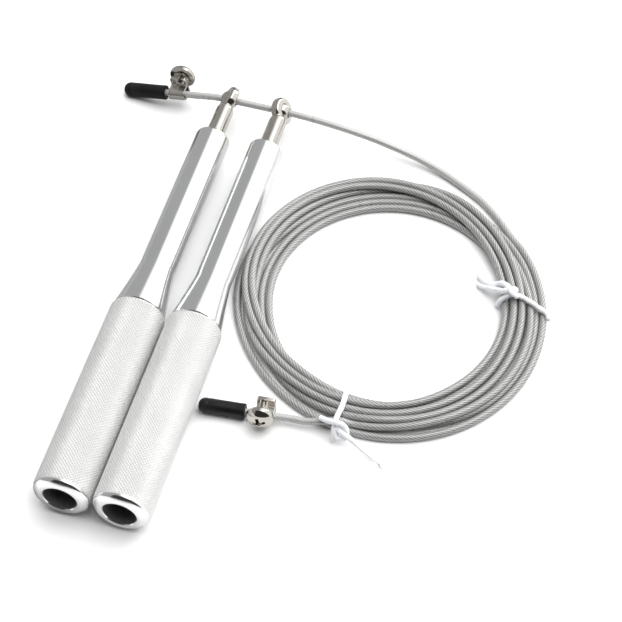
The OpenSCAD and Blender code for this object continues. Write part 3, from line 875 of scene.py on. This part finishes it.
KEPT = {
    "steel": [
        "front_outer_race",
        "rear_outer_race",
        "front_inner_race",
        "rear_inner_race",
        "bearing_shields",
        "bearing_balls",
    ],
    "brass": ["bearing_cages"],
    "zinc": ["stem_washer", "lock_nut"],
    "aluminium": ["bearing_spacer"],
    "nickel": ["eye_ball"],
}
for word in ("left", "right"):
    for finish, parts in KEPT.items():
        for part in parts:
            paint(nodes[f"{word}_{part}"], finish)
for o in nodes.values():
    if not o.hide_render:
        o.data.polygons.foreach_set("use_smooth", [True] * len(o.data.polygons))
        o.data.set_sharp_from_angle(angle=math.radians(32))


# ---------------------------------------------------------------- floor and light


def map_range(tree, source, limits, results, kind="SMOOTHSTEP"):
    made = node(tree, "ShaderNodeMapRange", interpolation_type=kind)
    for key, value in zip(("From Min", "From Max", "To Min", "To Max"), (*limits, *results)):
        made.inputs[key].default_value = value
    tree.links.new(source, made.inputs["Value"])
    return made.outputs["Result"]


def blend_values(tree, factor, a, b):
    """a where factor is 0, b where it is 1; a and b are numbers or sockets."""
    made = node(tree, "ShaderNodeMix")
    tree.links.new(factor, made.inputs[0])
    for value, socket in ((a, made.inputs[2]), (b, made.inputs[3])):
        if isinstance(value, (int, float)):
            socket.default_value = value
        else:
            tree.links.new(value, socket)
    return made.outputs[0]


# The first value is the table's own white; the other three are painted reflection colours, seen only in
# mirror finishes.
TABLE, PAINTED_REFLECTION_LEFT, PAINTED_REFLECTION_RIGHT, PAINTED_REFLECTION_FRONT = 0.93, 0.27, 0.66, 0.8


def make_floor():
    """White table. Its colour in mirror finishes is a painted reflection: grey on the left and lighter on
    the right and in front.
    """
    size = 6.0
    corners = [(-size, -size, 0), (size, -size, 0), (size, size, 0), (-size, size, 0)]
    floor = mesh_object("floor", corners, [(0, 1, 2, 3)], smooth_angle=None)
    mat, tree, bsdf = new_material("white_table", (TABLE, TABLE, TABLE), 0, 0.5)
    coord = node(tree, "ShaderNodeTexCoord")
    split = node(tree, "ShaderNodeSeparateXYZ")
    tree.links.new(coord.outputs["Object"], split.inputs["Vector"])
    rays = node(tree, "ShaderNodeLightPath")
    # Painted reflection: for glossy rays the table is painted grey on the left, lighter on the right and
    # lighter again in front.
    painted_reflection_across = map_range(tree, split.outputs["X"], (-0.012, 0.0), (PAINTED_REFLECTION_LEFT, PAINTED_REFLECTION_RIGHT))
    in_front = map_range(tree, split.outputs["Y"], (-0.095, -0.08), (1, 0))
    painted_reflection = blend_values(tree, in_front, painted_reflection_across, PAINTED_REFLECTION_FRONT)
    seen = blend_values(tree, rays.outputs["Is Glossy Ray"], TABLE, painted_reflection)
    mottle = map_range(tree, noise(tree, 4), (0.3, 0.7), (0.995, 1.005), "LINEAR")
    shade = node(tree, "ShaderNodeMath", operation="MULTIPLY")
    tree.links.new(seen, shade.inputs[0])
    tree.links.new(mottle, shade.inputs[1])
    tree.links.new(shade.outputs[0], bsdf.inputs["Base Color"])
    floor.data.materials.append(mat)


make_floor()

LIT, LEFT_GREY, BACK_DARK, STRIP = 1.12, 0.38, 0.12, 2.6
FRONT_DARK, FRONT_LEFT = 0.04, 0.34


def make_world():
    """One broad soft source over the right side and the back, grey on the left, dark behind the camera.

    A brighter strip lies within the soft source, and the far wall is dark.
    """
    world = bpy.data.worlds.new("studio")
    scene.world = world
    world.use_nodes = True
    tree = world.node_tree
    background = tree.nodes["Background"]
    coord = node(tree, "ShaderNodeTexCoord")
    split = node(tree, "ShaderNodeSeparateXYZ")
    tree.links.new(coord.outputs["Generated"], split.inputs["Vector"])
    right = map_range(tree, split.outputs["X"], (-0.2, -0.06), (LEFT_GREY, LIT))
    strip_from = map_range(tree, split.outputs["X"], (0.1, 0.16), (0, 1))
    strip = blend_values(tree, map_range(tree, split.outputs["X"], (0.5, 0.56), (0, 1)), strip_from, 0.0)
    bright = blend_values(tree, strip, right, STRIP)
    far = blend_values(tree, map_range(tree, split.outputs["Y"], (0.9, 0.94), (0, 1)), bright, BACK_DARK)
    back = map_range(tree, split.outputs["Y"], (-0.45, -0.2), (0, 1))
    front = map_range(tree, split.outputs["X"], (-0.6, -0.45), (FRONT_LEFT, FRONT_DARK))
    tree.links.new(blend_values(tree, back, front, far), background.inputs["Color"])


make_world()


def make_softbox(at, aim, size, power):
    """Large soft light; mirror finishes show the room instead of it."""
    data = bpy.data.lights.new("softbox", "AREA")
    data.shape = "RECTANGLE"
    data.size, data.size_y = size
    data.energy = power
    obj = bpy.data.objects.new("softbox", data)
    turn = (Vector(at) - Vector(aim)).to_track_quat("Z", "Y").to_matrix().to_4x4()
    obj.matrix_world = Matrix.Translation(at) @ turn
    obj.visible_glossy = False
    scene.collection.objects.link(obj)


make_softbox(at=(0.05, 0.5, 1.35), aim=(0.03, 0.0, 0), size=(2.2, 2.2), power=30)
scene.view_settings.view_transform = "Standard"
scene.view_settings.look = "None"
